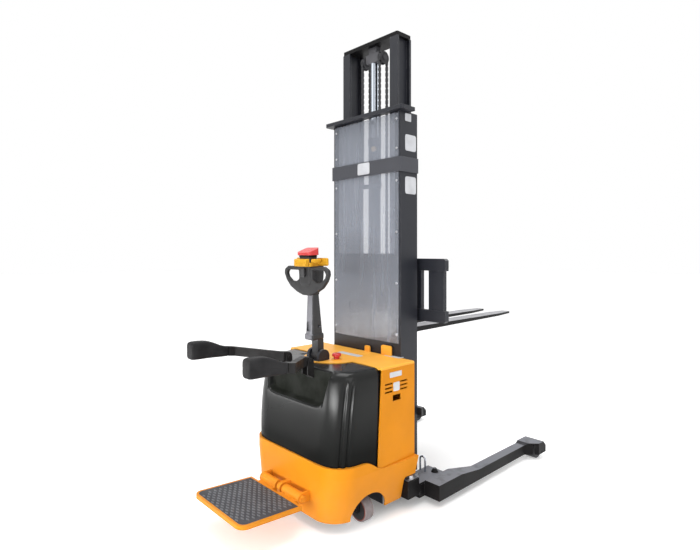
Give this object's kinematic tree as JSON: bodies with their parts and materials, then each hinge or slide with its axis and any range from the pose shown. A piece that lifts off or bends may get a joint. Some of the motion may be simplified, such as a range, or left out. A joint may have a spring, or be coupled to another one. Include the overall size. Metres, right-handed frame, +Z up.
{
  "type": "electric stacker",
  "caption": "Ride-on electric straddle stacker with a raised duplex mast, hook-on forks, spreading legs, tiller with loop grips, folding side arms and a fold-up pedal.",
  "frame": {"origin": "on the floor, at the bottom centre of the whole machine's bounding box, forks raised part way", "axes": "+Z up, +Y towards the fork tips, +X to the right hand of an operator who faces the mast"},
  "size_m": [1.09, 2.3, 2.516],
  "materials": {
    "yellow_paint": "satin",
    "yellow_plastic": "gloss",
    "black_paint": "satin",
    "hood_black": "gloss",
    "guard_sheet": "gloss",
    "bright_steel": "brushed",
    "chrome": "polished",
    "black_plastic": "matte",
    "red_plastic": "gloss",
    "grey_casting": "cast, painted",
    "iron_casting": "cast",
    "rubber": "matte",
    "wheel_tread": "matte"
  },
  "bodies": {
    "chassis": {"chassis_skirt": "yellow_paint", "deck_plate": "black_paint", "slew_ring": "bright_steel", "caster_mounts": "black_paint", "body_shell": "yellow_paint", "body_top_cover": "yellow_paint", "rear_hood": "hood_black", "battery_pack": "black_plastic", "hydraulic_unit": "black_paint", "motor_controller": "grey_casting", "base_sleeve": "black_paint", "mast_feet": "black_paint", "lashing_eyes": "chrome", "clamp_bolts": "bright_steel", "outer_mast": "black_paint", "mast_top_frame": "black_paint", "mast_band": "black_paint", "mast_guard": "guard_sheet", "guard_screws": "bright_steel", "limit_switch": "black_plastic", "lift_cylinder": "black_paint", "pedal_hinge": "yellow_paint", "arm_brackets": "bright_steel"},
    "inner_mast": {"inner_mast": "black_paint", "inner_mast_beams": "black_paint", "lift_crosshead": "bright_steel", "lift_rod": "chrome", "lift_chain_rear": "bright_steel"},
    "carriage": {"carriage_bars": "black_paint", "carriage_frame": "black_paint", "lift_chain_front": "bright_steel"},
    "pulley_right": {"chain_pulley_right": "bright_steel"},
    "pulley_left": {"chain_pulley_left": "bright_steel"},
    "fork_right": {"fork_right": "black_paint"},
    "fork_left": {"fork_left": "black_paint"},
    "leg_right": {"leg_right": "black_paint"},
    "leg_left": {"leg_left": "black_paint"},
    "load_wheel_right": {"load_wheel_right": "wheel_tread"},
    "load_wheel_left": {"load_wheel_left": "wheel_tread"},
    "steering": {"drive_gearbox": "iron_casting", "drive_motor": "black_paint", "tiller_base": "black_paint"},
    "drive_wheel": {"drive_wheel": "wheel_tread"},
    "tiller": {"tiller_arm": "grey_casting", "tiller_head": "black_plastic", "head_cover": "yellow_plastic"},
    "belly_button": {"belly_button": "red_plastic"},
    "throttle": {"throttle": "black_plastic"},
    "lift_rocker": {"lift_rocker": "black_plastic"},
    "pedal": {"pedal_frame": "yellow_paint", "pedal_mat": "rubber"},
    "arm_right": {"arm_right": "black_paint", "arm_pad_right": "rubber"},
    "arm_left": {"arm_left": "black_paint", "arm_pad_left": "rubber"},
    "estop_button": {"estop_button": "red_plastic"},
    "caster_right": {"caster_fork_right": "black_paint"},
    "caster_left": {"caster_fork_left": "black_paint"},
    "caster_wheel_right": {"caster_wheel_right": "wheel_tread"},
    "caster_wheel_left": {"caster_wheel_left": "wheel_tread"}
  },
  "joints": [
    {"name": "mast_lift", "type": "slide", "parent": "chassis", "child": "inner_mast", "axis": [0, 0, 1], "range_m": [-0.398, 1.1], "deforming": ["lift_chain_rear"]},
    {"name": "carriage_lift", "type": "slide", "parent": "inner_mast", "child": "carriage", "axis": [0, 0, 1], "range_m": [-0.398, 1.1], "deforming": ["lift_chain_front"]},
    {"name": "pulley_spin_right", "type": "hinge", "parent": "inner_mast", "child": "pulley_right", "pos_m": [0.068, -0.13, 2.419], "axis": [1, 0, 0], "continuous": true},
    {"name": "pulley_spin_left", "type": "hinge", "parent": "inner_mast", "child": "pulley_left", "pos_m": [-0.068, -0.13, 2.419], "axis": [1, 0, 0], "continuous": true},
    {"name": "fork_right_shift", "type": "slide", "parent": "carriage", "child": "fork_right", "axis": [1, 0, 0], "range_m": [-0.04, 0.11]},
    {"name": "leg_right_spread", "type": "slide", "parent": "chassis", "child": "leg_right", "axis": [1, 0, 0], "range_m": [0, 0.15]},
    {"name": "load_wheel_right_spin", "type": "hinge", "parent": "leg_right", "child": "load_wheel_right", "pos_m": [0.483, 0.818, 0.046], "axis": [1, 0, 0], "continuous": true},
    {"name": "arm_right_fold", "type": "hinge", "parent": "chassis", "child": "arm_right", "pos_m": [0.088, -0.695, 0.77], "axis": [1, 0, 0], "range_deg": [-88, 0]},
    {"name": "caster_right_swivel", "type": "hinge", "parent": "chassis", "child": "caster_right", "pos_m": [0.255, -0.515, 0.15], "axis": [0, 0, 1], "continuous": true},
    {"name": "caster_right_spin", "type": "hinge", "parent": "caster_right", "child": "caster_wheel_right", "pos_m": [0.285, -0.515, 0.06], "axis": [0, 1, 0], "continuous": true},
    {"name": "fork_left_shift", "type": "slide", "parent": "carriage", "child": "fork_left", "axis": [-1, 0, 0], "range_m": [-0.04, 0.11]},
    {"name": "leg_left_spread", "type": "slide", "parent": "chassis", "child": "leg_left", "axis": [-1, 0, 0], "range_m": [0, 0.15]},
    {"name": "load_wheel_left_spin", "type": "hinge", "parent": "leg_left", "child": "load_wheel_left", "pos_m": [-0.483, 0.818, 0.046], "axis": [1, 0, 0], "continuous": true},
    {"name": "arm_left_fold", "type": "hinge", "parent": "chassis", "child": "arm_left", "pos_m": [-0.088, -0.695, 0.77], "axis": [1, 0, 0], "range_deg": [-88, 0]},
    {"name": "caster_left_swivel", "type": "hinge", "parent": "chassis", "child": "caster_left", "pos_m": [-0.255, -0.515, 0.15], "axis": [0, 0, 1], "continuous": true},
    {"name": "caster_left_spin", "type": "hinge", "parent": "caster_left", "child": "caster_wheel_left", "pos_m": [-0.285, -0.515, 0.06], "axis": [0, 1, 0], "continuous": true},
    {"name": "steer", "type": "hinge", "parent": "chassis", "child": "steering", "pos_m": [0, -0.556, 0.3], "axis": [0, 0, 1], "range_deg": [-90, 90]},
    {"name": "drive_wheel_spin", "type": "hinge", "parent": "steering", "child": "drive_wheel", "pos_m": [0, -0.556, 0.105], "axis": [1, 0, 0], "continuous": true},
    {"name": "tiller_tilt", "type": "hinge", "parent": "steering", "child": "tiller", "pos_m": [0, -0.556, 0.768], "axis": [1, 0, 0], "range_deg": [0, 65]},
    {"name": "belly_button_press", "type": "slide", "parent": "tiller", "child": "belly_button", "axis": [0, -0.0349, 0.9994], "range_m": [-0.0075, 0], "stiffness_N_per_m": 1500},
    {"name": "throttle_turn", "type": "hinge", "parent": "tiller", "child": "throttle", "pos_m": [0, -0.62735, 1.26381], "axis": [1, 0, 0], "range_deg": [-25, 25], "stiffness_Nm_per_rad": 1.2},
    {"name": "lift_rocker_tip", "type": "hinge", "parent": "tiller", "child": "lift_rocker", "pos_m": [0, -0.64624, 1.20312], "axis": [1, 0, 0], "range_deg": [-9, 9], "stiffness_Nm_per_rad": 0.6},
    {"name": "pedal_fold", "type": "hinge", "parent": "chassis", "child": "pedal", "pos_m": [0, -0.786, 0.15], "axis": [1, 0, 0], "range_deg": [-86, 0]},
    {"name": "estop_press", "type": "slide", "parent": "chassis", "child": "estop_button", "axis": [0, 0, 1], "range_m": [-0.0045, 0]}
  ],
  "couplings": [
    {"joint": "carriage_lift", "follows": "mast_lift", "ratio": 1},
    {"joint": "pulley_spin_right", "follows": "mast_lift", "rad_per_m": 33.333},
    {"joint": "pulley_spin_left", "follows": "mast_lift", "rad_per_m": 33.333}
  ]
}
